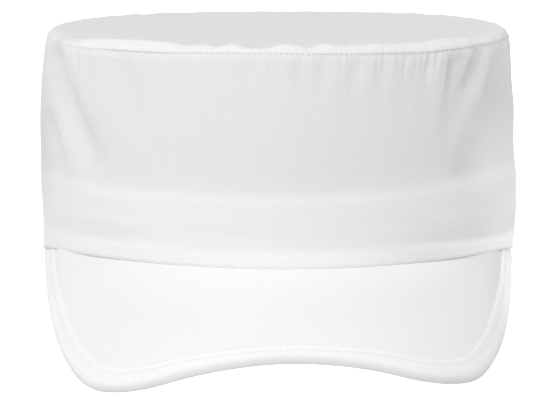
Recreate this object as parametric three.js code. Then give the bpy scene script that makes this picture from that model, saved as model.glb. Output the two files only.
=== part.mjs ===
// Painter cap: a tall cloth crown with a flat round top, an inner sweatband and a stiffened peak.
// Millimetres, +Z up, the peak points to -Y. The cap stands by itself on a level surface: it leans
// back until the two corners of the peak and the back of the rim touch.
// Every piece is first shaped in the cap's own frame, where the rim lies in the plane z = 0 and an
// angle of 0 degrees faces the front, and the whole cap is then set down on the surface.
import * as THREE from "three";

// Driving dimensions
const CROWN_DEPTH_EXTRA = 3; // how much deeper than wide the crown is, each half
const CLOTH = 1.4; // wall and top panel
const BAND_CLOTH = 1.2; // sweatband
const BAND_CLEARANCE = 0.6; // wall to sweatband
const GAP = 0.3; // between pieces that are sewn together
const PEAK_CLOTH = 2.4; // cloth over the stiffener
const PEAK_HALF_WIDTH = 91.3; // of its sewn edge, which the wall stands out over
const PEAK_HALF_DEPTH = 95.9;
const PEAK_SLOPE_FRONT = 34; // degrees below the rim, at the middle of the peak
const PEAK_SLOPE_SIDE = 50; // degrees below the rim, towards its ends
const PEAK_FAN = 0.25; // share of its angle by which the sheet turns outwards
const PEAK_TURN = 3; // degrees, the peak points a little to the right
const PEAK_SKEW = 2.1; // the left corner reaches further than the right one by twice this
const PEAK_SKEW_WAVE = 2.4; // and the difference dies away towards the middle and the ends
const TOP_LIFT_BACK = 0.3; // the top seam stands a little higher at the back
const TOP_LIFT_QUARTER = 1.5; // and more so between the back and the sides
const TOP_LIFT_RIGHT = 0.3; // share by which the right side has more of it than the middle
const SWELL_AT_SIDES = 0.3; // share of the wall's swell that is left at its sides
const RIM_RISE_HEIGHT = 12; // height of the wall over which the rise of its lower edge dies away
const RIM_RISE_REACH = 30; // and the reach of the peak over which it does
const FOLD_FADES_IN = 0.15; // share of a fold's length over which it starts
const FOLD_FADES_OUT = 0.65; // share from which it dies away
const SETTLE = 0.5; // cloth flattened where the cap rests
const COLUMNS = 90; // sections around the crown
const PEAK_COLUMNS = 44; // sections along the edge of the peak
const COTTON = 0xf4f4f3;

// Level sections of the wall: half widths to the left and right, and how far the cloth swells out
// at the front and back, over the hem and over the edge of the sweatband.
const WALL_SECTIONS = [
  { height: 0, left: 92.8, right: 93.4, swell: 0.8 },
  { height: 3, left: 93.2, right: 94.0, swell: 0.5 },
  { height: 8, left: 93.5, right: 94.7, swell: -0.3 },
  { height: 13, left: 93.8, right: 95.2, swell: -0.6 },
  { height: 18, left: 94.0, right: 95.4, swell: -0.2 },
  { height: 24, left: 94.2, right: 95.3, swell: 0.7 },
  { height: 28, left: 94.4, right: 95.2, swell: 0.4 },
  { height: 33, left: 94.7, right: 95.1, swell: -0.4 },
  { height: 40, left: 94.9, right: 94.9, swell: 0 },
  { height: 49, left: 95.0, right: 94.5, swell: 0 },
  { height: 59, left: 94.8, right: 93.9, swell: 0 },
  { height: 69, left: 94.1, right: 93.3, swell: 0 },
  { height: 78, left: 93.1, right: 92.8, swell: 0 },
  { height: 84.5, left: 92.1, right: 92.3, swell: 0 },
];
const BAND_HEIGHTS = [3, 13, 24, 28]; // sections that the sweatband follows

// Height of the wall's lower edge and of the peak's sewn edge over the rim plane, left and right alike.
const RIM_RISE = [
  { angle: 0, rise: 0 },
  { angle: 15, rise: 0.2 },
  { angle: 30, rise: 0.9 },
  { angle: 45, rise: 1.6 },
  { angle: 60, rise: 2.2 },
  { angle: 70, rise: 2.2 },
  { angle: 80, rise: 1.3 },
  { angle: 88, rise: 0.2 },
  { angle: 96, rise: 0 },
  { angle: 180, rise: 0 },
];

// Folds of the wall: each valley runs from one place to another, and bows to the right by an angle.
const FOLDS = [
  { fromAngle: -76, fromHeight: 84, toAngle: -43, toHeight: 28, bow: 1.5, width: 8.5, depth: 2 },
  { fromAngle: -72, fromHeight: 58, toAngle: -60, toHeight: 33, bow: 0, width: 7, depth: 0.8 },
  { fromAngle: -43, fromHeight: 84, toAngle: -37, toHeight: 50, bow: 0, width: 8, depth: 0.6 },
  { fromAngle: 36, fromHeight: 84, toAngle: 34, toHeight: 66, bow: 0, width: 5, depth: 0.7 },
  { fromAngle: 46, fromHeight: 84, toAngle: 45, toHeight: 57, bow: 0, width: 6, depth: 1.1 },
  { fromAngle: 56, fromHeight: 84, toAngle: 50, toHeight: 56, bow: 0, width: 6, depth: 1.2 },
  { fromAngle: 76, fromHeight: 84, toAngle: 46, toHeight: 28, bow: 0, width: 11, depth: 2.4 },
  { fromAngle: -79, fromHeight: 15, toAngle: -20, toHeight: 10, bow: 0, width: 5, depth: 0.7 },
  { fromAngle: 79, fromHeight: 14, toAngle: 16, toHeight: 10, bow: 0, width: 5, depth: 0.7 },
];

// Profile of the top panel from the seam inwards: the edge rolls over and the middle lies flat.
const TOP_PROFILE = [
  { inset: 0, rise: 0 },
  { inset: 0.1, rise: 1.6 },
  { inset: 1.3, rise: 2.9 },
  { inset: 4, rise: 3.3 },
  { inset: 10, rise: 2.8 },
  { inset: 36, rise: 2.6 },
];
const TOP_MIDDLE_RISE = 3;

// How far the peak reaches from the rim along its slope, mean of left and right.
const PEAK_REACH = [
  { angle: 0, reach: 53.4 },
  { angle: 10, reach: 55.1 },
  { angle: 20, reach: 59.4 },
  { angle: 30, reach: 65.8 },
  { angle: 38, reach: 67.6 },
  { angle: 46, reach: 64.6 },
  { angle: 55, reach: 51.2 },
  { angle: 65, reach: 31.2 },
  { angle: 75, reach: 13.3 },
  { angle: 82, reach: 5.5 },
  { angle: 88, reach: 0 },
];

// Section of the peak from its edge inwards: half thicknesses above and below the middle of the
// sheet. The binding round the edge stands higher than the cover, and its stitches press it in.
const PEAK_HEM = [
  { inset: 0, above: 0.6, below: 0.6 },
  { inset: 1.2, above: 1.3, below: 1.1 },
  { inset: 4.5, above: 1.4, below: 1.1 },
  { inset: 7.7, above: 1.1, below: 0.9 },
  { inset: 9.4, above: 1.5, below: 1.0 },
  { inset: 10.8, above: 1.0, below: 1.2 },
];
const PEAK_INNER_SHARES = [0.35, 0.7, 1]; // rows between the hem and the rim
const PEAK_RIM_SHARE = 0.8; // share of the hem's span that the row along the rim takes up

const SMALL_ANGLE = 1e-3; // radians, for slopes found by differences
const radians = THREE.MathUtils.degToRad;
const smooth = THREE.MathUtils.smoothstep;
const rimSection = WALL_SECTIONS[0];
const topSection = WALL_SECTIONS[WALL_SECTIONS.length - 1];
const angles = Array.from({ length: COLUMNS }, (_, i) => (2 * Math.PI * i) / COLUMNS);

// Sideways displacement of the wall at a place, from every fold that passes near it.
function foldsAt(angle, height, radius) {
  let moved = 0;
  for (const fold of FOLDS) {
    const from = new THREE.Vector2(radians(fold.fromAngle) * radius, fold.fromHeight);
    const to = new THREE.Vector2(radians(fold.toAngle) * radius, fold.toHeight);
    const along = to.clone().sub(from);
    const length = along.length();
    along.normalize();
    const offset = new THREE.Vector2(angle * radius, height).sub(from);
    const share = THREE.MathUtils.clamp(offset.dot(along) / length, 0, 1);
    const bow = radians(fold.bow) * radius * 4 * share * (1 - share);
    const across = (offset.cross(along) - bow * along.y) / fold.width;
    const ends = smooth(share, 0, FOLD_FADES_IN) * (1 - smooth(share, FOLD_FADES_OUT, 1));
    moved -= fold.depth * ends * (1 - across * across) * Math.exp(-across * across);
  }
  return moved;
}

// A point of the wall, a distance in from its outer face.
function wallPoint(section, angle, inset) {
  const side = Math.sin(angle);
  const front = Math.cos(angle);
  const mean = (section.left + section.right) / 2;
  const lean = ((section.right - section.left) / 2) * side;
  const signed = angle > Math.PI ? angle - 2 * Math.PI : angle;
  const swell = section.swell * THREE.MathUtils.lerp(SWELL_AT_SIDES, 1, front * front);
  const out = swell + foldsAt(signed, section.height, mean) - inset;
  const rim = rimRise(signed) * (1 - smooth(section.height, 0, RIM_RISE_HEIGHT));
  return new THREE.Vector3(
    (mean + lean + out) * side,
    -(mean + CROWN_DEPTH_EXTRA + out) * front,
    section.height + topLift(angle) * (section.height / topSection.height) ** 2 + rim,
  );
}

function rimRise(angle) {
  return between(RIM_RISE, "angle", "rise", Math.abs(THREE.MathUtils.radToDeg(angle)));
}

// How much higher than at the front the top seam stands.
function topLift(angle) {
  const side = Math.sin(angle);
  const back = Math.max(0, -Math.cos(angle));
  return back * (TOP_LIFT_BACK + TOP_LIFT_QUARTER * side * side * (1 + TOP_LIFT_RIGHT * side));
}

function wallRing(section, inset) {
  return angles.map((angle) => wallPoint(section, angle, inset));
}

// Closed surface through rows of points: each row is joined to the next and the last to the first.
// Rows of one point close to a tip. Rows that are not rings are closed at their two ends by strips.
function closedSurface(rows, areRings) {
  const starts = rows.map((_, r) => rows.slice(0, r).flat().length);
  const index = [];
  rows.forEach((row, r) => {
    const next = (r + 1) % rows.length;
    const count = Math.max(row.length, rows[next].length);
    const vertex = (which, i) => starts[which] + (rows[which].length === 1 ? 0 : i % count);
    const quads = areRings ? count : count - 1;
    for (let i = 0; i < quads; i++) {
      const corners = [vertex(r, i), vertex(r, i + 1), vertex(next, i + 1), vertex(next, i)];
      addQuad(index, corners, i >= quads / 2);
    }
  });
  if (!areRings) {
    const last = rows[0].length - 1;
    for (let r = 0; r < rows.length / 2 - 1; r++) {
      const far = rows.length - 1 - r;
      const strip = [starts[r], starts[r + 1], starts[far - 1], starts[far]];
      addQuad(index, strip, false);
      addQuad(index, strip.map((start) => start + last).reverse(), false);
    }
  }
  const geometry = new THREE.BufferGeometry().setFromPoints(rows.flat());
  geometry.setIndex(index);
  geometry.computeVertexNormals();
  return geometry;
}

// Two triangles over four corners, split along either diagonal. A corner met twice leaves one out.
function addQuad(index, [a, b, c, d], otherDiagonal) {
  const triangles = otherDiagonal ? [[a, b, d], [b, c, d]] : [[a, b, c], [a, c, d]];
  for (const triangle of triangles) {
    if (new Set(triangle).size === 3) index.push(...triangle);
  }
}

function crownWall(floor) {
  const outer = WALL_SECTIONS.map((section) => wallRing(section, 0));
  const inner = WALL_SECTIONS.map((section) => wallRing(section, CLOTH));
  const rows = [...outer, ...inner.reverse()];
  rows.flat().forEach((point) => liftTo(floor, point));
  return closedSurface(rows, true);
}

function sweatband() {
  const sections = WALL_SECTIONS.filter((section) => BAND_HEIGHTS.includes(section.height));
  const clear = CLOTH + BAND_CLEARANCE;
  const outer = sections.map((section) => wallRing(section, clear));
  const inner = sections.map((section) => wallRing(section, clear + BAND_CLOTH));
  return closedSurface([...outer, ...inner.reverse()], true);
}

function topPanel() {
  const seamHeight = topSection.height + GAP;
  const ring = (inset, rise) =>
    wallRing(topSection, inset).map((point) => point.setZ(point.z + GAP + rise));
  const middle = (rise) => [new THREE.Vector3(0, 0, seamHeight + rise)];
  const outer = TOP_PROFILE.map(({ inset, rise }) => ring(inset, rise));
  const inner = TOP_PROFILE.map(({ inset, rise }) => ring(inset + CLOTH, Math.max(0, rise - CLOTH)));
  const middles = [middle(TOP_MIDDLE_RISE), middle(TOP_MIDDLE_RISE - CLOTH)];
  return closedSurface([...outer, ...middles, ...inner.reverse()], true);
}

// Value of a table's column at a place between its rows, on a smooth curve through them.
function between(rows, key, column, at) {
  const last = rows.length - 1;
  const i = THREE.MathUtils.clamp(rows.findLastIndex((row) => row[key] <= at), 0, last - 1);
  const slope = (j) => {
    const before = rows[Math.max(j - 1, 0)];
    const after = rows[Math.min(j + 1, last)];
    return j === 0 ? 0 : (after[column] - before[column]) / (after[key] - before[key]);
  };
  const span = rows[i + 1][key] - rows[i][key];
  const t = (at - rows[i][key]) / span;
  const rise = rows[i + 1][column] - rows[i][column];
  const a = slope(i) * span - rise;
  const b = rise - slope(i + 1) * span;
  return rows[i][column] + rise * t + t * (1 - t) * (a * (1 - t) + b * t);
}

function reachAt(angle) {
  const degrees = Math.abs(THREE.MathUtils.radToDeg(angle));
  return between(PEAK_REACH, "angle", "reach", degrees) - PEAK_SKEW * Math.sin(PEAK_SKEW_WAVE * angle);
}

// The middle of the peak's sheet: straight lines that start at the rim and run forwards and down.
function sheetPoint(angle, reach) {
  const slope = radians(THREE.MathUtils.lerp(PEAK_SLOPE_SIDE, PEAK_SLOPE_FRONT, Math.cos(angle)));
  const heading = PEAK_FAN * angle + radians(PEAK_TURN);
  const rim = rimRise(angle) * (1 - smooth(reach, 0, RIM_RISE_REACH));
  const start = new THREE.Vector3(
    PEAK_HALF_WIDTH * Math.sin(angle),
    -PEAK_HALF_DEPTH * Math.cos(angle),
    rim - GAP - (PEAK_CLOTH / 2) * Math.cos(radians(PEAK_SLOPE_FRONT)),
  );
  const along = new THREE.Vector3(
    Math.sin(heading) * Math.cos(slope),
    -Math.cos(heading) * Math.cos(slope),
    -Math.sin(slope),
  );
  return start.addScaledVector(along, reach);
}

// Directions on the sheet: change of place with the angle, and with the reach.
function sheetSlopes(angle, reach) {
  const here = sheetPoint(angle, reach);
  const byAngle = sheetPoint(angle + SMALL_ANGLE, reach).sub(here).divideScalar(SMALL_ANGLE);
  const byReach = sheetPoint(angle, reach + 1).sub(here);
  return { byAngle, byReach };
}

// Place on the sheet a distance in from the edge, square to the edge.
function insetPlace(angle, inset) {
  const reach = reachAt(angle);
  const { byAngle, byReach } = sheetSlopes(angle, reach);
  const reachChange = (reachAt(angle + SMALL_ANGLE) - reach) / SMALL_ANGLE;
  const edge = byAngle.clone().addScaledVector(byReach, reachChange);
  const turn = byReach.dot(edge);
  const back = -byAngle.dot(edge);
  const length = byAngle.clone().multiplyScalar(turn).addScaledVector(byReach, back).length();
  return { angle: angle + (inset * turn) / length, reach: reach + (inset * back) / length };
}

// Angle at which the row at an inset meets the rim, on the left (-1) or right (1).
function rowEnd(inset, side) {
  let inside = 0;
  let outside = side * radians(PEAK_REACH[PEAK_REACH.length - 1].angle);
  for (let round = 0; round < 30; round++) {
    const middle = (inside + outside) / 2;
    if (insetPlace(middle, inset).reach > 0) inside = middle;
    else outside = middle;
  }
  return inside;
}

function peakRows() {
  const shares = Array.from({ length: PEAK_COLUMNS + 1 }, (_, i) => i / PEAK_COLUMNS);
  const hem = PEAK_HEM.map(({ inset, above, below }) => {
    const left = rowEnd(inset, -1);
    const right = rowEnd(inset, 1);
    const places = shares.map((s) => insetPlace(THREE.MathUtils.lerp(left, right, s), inset));
    return { places, above, below };
  });
  const { places: deepest, above, below } = hem[hem.length - 1];
  const span = PEAK_RIM_SHARE * deepest[PEAK_COLUMNS].angle;
  const inner = PEAK_INNER_SHARES.map((share) => ({
    places: deepest.map((place, i) => ({
      angle: THREE.MathUtils.lerp(place.angle, span * (2 * shares[i] - 1), share),
      reach: place.reach * (1 - share),
    })),
    above,
    below,
  }));
  return [...hem, ...inner];
}

function peakPoints() {
  const face = (row, side) =>
    row.places.map(({ angle, reach }) => {
      const { byAngle, byReach } = sheetSlopes(angle, reach);
      const normal = byReach.cross(byAngle).normalize();
      return sheetPoint(angle, reach).addScaledVector(normal, side > 0 ? row.above : -row.below);
    });
  const rows = peakRows();
  const upper = rows.map((row) => face(row, 1));
  const lower = rows.map((row) => face(row, -1));
  return [...upper, ...lower.reverse()];
}

// The level surface, seen in the cap's frame: it touches both corners of the peak and the back.
function floorUnder(points) {
  const back = wallPoint(rimSection, Math.PI, 0);
  const floor = new THREE.Plane(new THREE.Vector3(0, 0, 1));
  for (let round = 0; round < 4; round++) {
    const lowest = (side) =>
      points
        .filter((point) => point.x * side > 0)
        .reduce((a, b) => (floor.distanceToPoint(a) < floor.distanceToPoint(b) ? a : b));
    floor.setFromCoplanarPoints(lowest(1), back, lowest(-1));
  }
  floor.constant -= SETTLE;
  return floor;
}

// Flattens cloth against the surface: a point below it is lifted onto it.
function liftTo(floor, point) {
  const below = Math.min(0, floor.distanceToPoint(point));
  point.z -= below / floor.normal.z;
}

function clothMesh(name, geometry, roughness) {
  const material = new THREE.MeshStandardMaterial({ color: COTTON, roughness, metalness: 0 });
  const mesh = new THREE.Mesh(geometry, material);
  mesh.name = name;
  return mesh;
}

const peakSurface = peakPoints();
const floor = floorUnder(peakSurface.flat());
peakSurface.flat().forEach((point) => liftTo(floor, point));

const cap = new THREE.Group();
cap.add(clothMesh("crown_wall", crownWall(floor), 0.9));
cap.add(clothMesh("top_panel", topPanel(), 0.9));
cap.add(clothMesh("sweatband", sweatband(), 0.95));
cap.add(clothMesh("peak", closedSurface(peakSurface, false), 0.85));
cap.quaternion.setFromUnitVectors(floor.normal, new THREE.Vector3(0, 0, 1));

// The origin is under the middle of the whole cap, on the surface.
const bounds = new THREE.Box3().setFromObject(cap, true);
const centre = bounds.getCenter(new THREE.Vector3());
cap.position.set(-centre.x, -centre.y, -bounds.min.z);

const painterCap = new THREE.Group();
painterCap.add(cap);
export default painterCap;
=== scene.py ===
import math

import bpy
import numpy as np
from mathutils import Matrix, Quaternion, Vector


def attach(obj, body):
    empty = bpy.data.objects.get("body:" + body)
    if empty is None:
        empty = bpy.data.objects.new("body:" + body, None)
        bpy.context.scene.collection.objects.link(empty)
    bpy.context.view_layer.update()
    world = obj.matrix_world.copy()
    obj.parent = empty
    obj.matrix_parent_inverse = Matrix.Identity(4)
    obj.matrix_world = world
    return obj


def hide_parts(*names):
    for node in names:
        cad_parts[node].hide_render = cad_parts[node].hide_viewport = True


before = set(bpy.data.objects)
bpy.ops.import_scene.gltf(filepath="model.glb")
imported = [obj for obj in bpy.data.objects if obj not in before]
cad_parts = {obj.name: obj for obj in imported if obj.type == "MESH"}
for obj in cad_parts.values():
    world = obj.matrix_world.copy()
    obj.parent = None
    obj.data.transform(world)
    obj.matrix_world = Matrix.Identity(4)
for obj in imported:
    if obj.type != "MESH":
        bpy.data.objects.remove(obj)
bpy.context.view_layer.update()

# Every shape is made in the cap's own frame, in millimetres: the rim lies in the plane z = 0, the
# front faces -Y, and an angle of 0 degrees looks to the front. The rest pose sets it on the floor.
MILLIMETRES = 1000  # in a metre
REST_TURN = Quaternion((0.9951916866, -0.0977848319, 0.0056243746, 0.0))
REST_MOVE = Vector((-0.663217, 17.298344, 18.359580))

# Camera, in the cap's frame
CAMERA_DISTANCE = 3500
CAMERA_ELEVATION = 5.2
CAMERA_TARGET = Vector((0, 0, 17.87))
CAMERA_FAR = 100  # metres
PICTURE_WIDTH = 222  # millimetres across the picture, at the cap's axis
SENSOR = 36

# Soft boxes round the cap, in metres and watts. 0 degrees is the front.
LIGHTS = (
    # name, azimuth, elevation, power
    ("left_softbox", -38, 50, 21.4),
    ("side_left_softbox", -50, 25, 3.2),
    ("right_softbox", 70, 50, 0.8),
    ("front_softbox", 0, 50, 5.6),
    ("high_front_softbox", 0, 75, 2),
)
LIGHT_DISTANCE = 3
LIGHT_SIZE = 1.6
LIGHT_AIM = Vector((0, 0, 0.06))
WORLD_LIGHT = 0.745

# Stage, in metres
FLOOR_SIZE = 14
FLOOR_HEIGHT = -0.0001
FLOOR_GLOSS = 0.1
FLOOR_GLOW = 0.9
TABLE_RADIUS = 0.25
TABLE_CORNERS = 64
TABLE_HEIGHT = -0.00005
STAGE_WHITE = 0.9
STAGE_ROUGHNESS = 0.9

# Cloth of the crown
CLOTH = 1.4
CROWN_DEPTH_EXTRA = 3  # how much deeper than wide the crown is, each half
BAND_CLOTH = 1.2
BAND_CLEARANCE = 0.6
BAND_LEVEL = 28  # height of the sweatband's upper edge at the back
BAND_LINE = {"height": 22.6, "depth": 0.1, "width": 0.7}  # groove along the sweatband in the wall
SEAM_HEIGHT = 84.5
SEAM_DROP_FROM = 62  # height from which the wall follows its seam down
SEAM_TOUCH = 0.02  # inset of both cloths where the top seam is closed
SEAM_CLOSED_RISE = 0.2  # how much higher the wall's edge stands there
TOP_GAP = 0.3  # height of the top panel over the wall
TOP_MIDDLE = 0.02  # height of the middle point over the innermost ring
TOP_LIFT = {"back": 0.3, "sides": 1.5, "right": 0.3}  # rise of the crown's top behind
HEM_DROP = 1.35  # how much lower the wall's outer face reaches than its inner face, at the front
BACK_SEAM = {"depth": 0.35, "width": 0.8, "span": 0.12}  # span is an angle in radians
GATHER_LEAN = 0.35  # millimetres to the side for each millimetre down
GATHER_REACH = {"fine": 7, "broad": 24}  # how far down gathers reach
GATHER_AT_SEAM = 0.3  # their share of height on the seam itself

# Radii that turn an angle into a length along the cloth
GIRTH = {"folds": 94.3, "wall": 94, "gathers": 93, "band": 92, "roll": 92}

# Uneven waves of the cloth: distance between crests and seed
RIPPLES = {
    "fine gathers": (3.6, 11),
    "broad gathers": (15, 12),
    "along the wall": (55, 21),
    "up the wall": (48, 22),
    "along the band": (40, 31),
    "lumps of the roll": (17, 41),
    "pleats of the roll": (3.0, 42),
    "across the top": (70, 51),
    "along the top": (60, 52),
    "along the hem": (17, 62),
    "across the peak": (62, 71),
    "down the peak": (50, 72),
}
RIPPLE_LENGTHS = (0.74, 0.87, 1.0, 1.16, 1.35)  # shares of that distance
RIPPLE_SPREAD = 0.06  # how much these lengths vary
RIPPLE_CREST = 2.4  # height of a usual crest of their sum
UNEVEN = {"wall": 0.16, "band": 0.25, "top": 0.22, "hem": 0.05, "peak": 0.18}  # height of the waves
WAVE_LEAN = {"along the wall": 0.4, "up the wall": 0.2, "across the peak": 0.3}
TOP_WAVE_WAY = (0.8, 0.6)
ROLL_LUMPS = 0.12
ROLL_PLEATS = {"everywhere": 0.02, "at the right": 0.03}

# Peak
PEAK_HALF_WIDTH = 91.3
PEAK_HALF_DEPTH = 95.9
PEAK_SLOPE_FRONT = 34
PEAK_SLOPE_SIDE = 50
PEAK_GAP = 0.3
PEAK_HALF_THICKNESS = 1.2
PEAK_START = -PEAK_GAP - PEAK_HALF_THICKNESS * math.cos(math.radians(PEAK_SLOPE_FRONT))
PEAK_FAN = 0.25
PEAK_TURN = 3
PEAK_SKEW = 2.3
PEAK_SKEW_WAVE = 2.4
PEAK_RIM_SHARE = 0.8
PEAK_EDGE_LENGTH = 330
PEAK_STITCH_INSET = 7.7
HEM_EDGE = 2  # the hem's tables aren't scaled within this distance of the edge
HEM_BEYOND = 0.93  # width beyond the stitches, as a share of the tables'
HEM_BEND_LEAST = 0.4  # share of the bend at the peak's ends
SLOPE_STEP = 1e-3  # step in angle for measuring slopes, in radians
HALVINGS = 40

# Columns and rows of points
WALL_COLUMNS = (640, 150)  # over the front half and the back half
BAND_COLUMNS = (180, 120)
PEAK_COLUMNS = 380
PEAK_INNER_ROWS = 33
SEAM_SAMPLES = 1400
HEM_SAMPLES = 1200

# Stitches
SEAM_STITCH = {"pitch": 2.12, "length": 1.15, "radius": 0.26, "rise": 0.14}
SEAM_STITCH_INSET = 0.04
SEAM_STITCH_LIFT = 0.14
PEAK_STITCH = {"pitch": 2.5, "length": 2, "radius": 0.15, "rise": 0.17}
PEAK_STITCH_END = 3  # distance from the rim at which the peak's stitches end
STITCH_TAPER = np.array([0.5, 0.95, 1, 1, 0.95, 0.5])
STITCH_SIDES = 6
STITCH_SINK = 0.1
THREAD_SHADE = 0.8
THREAD_RELIEF = 0.03
THREAD_GRAIN = 3000
THREAD_ROUGHNESS = (0.45, 0.7)

# Tone: the share by which the cloth is lighter or darker, partly from more cloth behind it and partly
# painted light and shade
BAND_GAIN = 0.08  # over the sweatband: partly its second cloth behind, partly painted light
BAND_GAIN_LOSS = 0.25  # the share of it that is missing at the left, as painted shade
SEAM_GAIN = 0.05  # over the cloth turned in under the top seam, with painted light on the gathers there
ROLL_GAIN = 0.13  # over the same in the edge of the top panel, with a painted highlight on the roll
ROLL_GAIN_LOSS = 0.7  # the share of it that is missing at the sides, as painted shade
RIGHT_PAINTED_LIGHT = 0.12  # painted light, low on the right side
LEFT_PAINTED_SHADE = -0.09  # painted shade on the far left
LEFT_PAINTED_SHADE_LOSS = 0.7  # the share of it that is missing near the top
PEAK_PAINTED_LIGHT = 0.05  # painted light in the middle of the peak
ROOT_PAINTED_LIGHT = {"left": 0.03, "right": 0.1}  # painted light on the peak next to the seam at its root
HEM_SIDE_PAINTED_LIGHT = {"left": 0.02, "right": 0.26}  # painted light on the hem along the peak's sides

# Weave: waves for each millimetre across and down, and their detail
SLUBS = (0.12, 0.9, 2)
PATCHES = (0.03, 0.04, 2)
NOISE_RANGE = (0.3, 0.7)
PATCH_SHADE = 0.985  # tone of the darkest patches
SLUB_RELIEF = 0.4  # height of slubs beside that of the threads
WEAVE_APART = 40  # distance on the cloth between the sweatband's two faces
BUMP_STRENGTH = 0.6
COTTON_GLOSS = 0.2
COTTON_SHEEN = 0.08
SHEEN_ROUGHNESS = 0.6
ROUGHNESS_SPREAD = 0.06
MIX_INPUTS = (6, 7)  # the colour sockets of a mix node
MIX_RESULT = 2


def table(columns, *rows):
    """A short table as one array for each named column."""
    return {name: np.array(column, float) for name, column in zip(columns.split(), zip(*rows))}


# Level sections of the wall: half widths to the left and right.
WALL = table(
    "height left right",
    (-1, 92.7, 93.2), (0, 92.8, 93.4), (3, 93.2, 94.0), (8, 93.5, 94.7), (13, 93.8, 95.2),
    (18, 94.0, 95.4), (24, 94.2, 95.3), (28, 94.4, 95.2), (33, 94.7, 95.1), (40, 94.9, 94.9),
    (49, 95.0, 94.5), (59, 94.8, 93.9), (69, 94.1, 93.3), (78, 93.1, 92.8), (84.5, 92.1, 92.3),
)
# How far the cloth swells out at the front and back: over the hem and over the sweatband.
SWELL = table(
    "height out",
    (-1, 2.6), (0, 2.3), (2, 1.7), (5, 0.92), (8, 0.38), (10.5, 0.12), (13, 0.1), (17, 0.28),
    (20, 0.44), (22.5, 0.53), (24.5, 0.43), (27, 0), (30, -0.6), (32.5, -0.85), (36, -0.85),
    (43, -0.5), (52, -0.15), (64, 0), (84.5, 0),
)
SWELL_AT_SIDES = 0.3  # share of it at the sides
SWELL_MORE_RIGHT = 1.1  # and how much more it is just before the right side
# Height at which the upper edge of the sweatband shows, round the front.
BAND_EDGE = table(
    "angle height",
    (-180, 28), (-110, 29), (-75, 32.2), (-62, 32.4), (-52, 31), (-42, 30), (-27, 30.2),
    (-14, 29.4), (0, 29.2), (22, 29.9), (38, 31.2), (53, 33.8), (65, 35.2), (78, 35.6),
    (110, 32), (180, 28),
)
# Height of the wall's lower edge and of the peak's root over the rim plane.
RIM_RISE = table(
    "angle rise",
    (-180, 0), (-95, 0), (-87, 0.45), (-79, 2.5), (-74, 3.3), (-67, 3.8), (-60, 3.95), (-48, 3.7),
    (-36, 3.4), (-24, 2.75), (-12, 2.2), (0, 1.85), (12, 1.9), (24, 2.3), (36, 2.85), (48, 3.2),
    (60, 3.75), (67, 3.8), (74, 3.3), (79, 2.5), (87, 0.45), (95, 0), (180, 0),
)
RIM_RISE_HEIGHT = 12  # it fades out over this height of the wall
RIM_RISE_REACH = 30  # and over this reach of the peak
# How much more the peak's root is raised, so that it meets the wall's lower edge.
ROOT_LIFT = table(
    "angle lift",
    (0, 0.6), (20, 0.7), (30, 0.88), (40, 1.17), (47, 1.44), (55, 1.72), (65, 1.82), (75, 1.45),
    (82, 0.5), (88, 0),
)
# How much lighter the wall is low over the rim: partly the cloth turned up behind it, partly painted
# light, most on the right side.
RIM_GAIN = table(
    "angle gain",
    (-180, 0.05), (-90, 0.02), (-62, 0.015), (-42, 0.01), (-27, 0.02), (-14, 0.055), (0, 0.07),
    (10, 0.075), (23, 0.05), (37, 0), (46, 0.05), (55, 0.12), (70, 0.18), (90, 0.18), (180, 0.05),
)
# Painted shade along the wall's lower edge over the peak, in the seam where the two are sewn together.
EDGE_PAINTED_SHADE = table(
    "angle gain",
    (0, -0.1), (14, -0.15), (38, -0.16), (52, -0.26), (70, -0.3), (82, -0.2), (90, 0), (180, 0),
)
# How much lower than level the top seam is sewn.
SEAM_DROP = table(
    "angle drop",
    (-180, 0), (-78, 0), (-68, 0.3), (-55, 0.65), (-35, 0.75), (-25, 0.5), (-18, 0.15), (-8, 0),
    (0, 0), (8, 0.35), (16, 0.65), (24, 0.85), (32, 1.1), (40, 1.3), (46, 1.05), (52, 0.7),
    (60, 0.3), (72, 0.3), (84, 0), (180, 0),
)
# How open the seam is: where it is closed, no dark line shows.
SEAM_OPEN = table(
    "angle share",
    (-180, 0.5), (-90, 0.2), (-66, 0), (-58, 0.1), (-52, 0.4), (-46, 0.55), (-43, 0.7), (-38, 0.62),
    (-30, 0.62), (-20, 0.58), (-8, 0.48), (4, 0.5), (12, 0.62), (18, 0.75), (28, 0.9), (56, 1),
    (72, 1), (90, 0.6), (180, 0.5),
)
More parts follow.
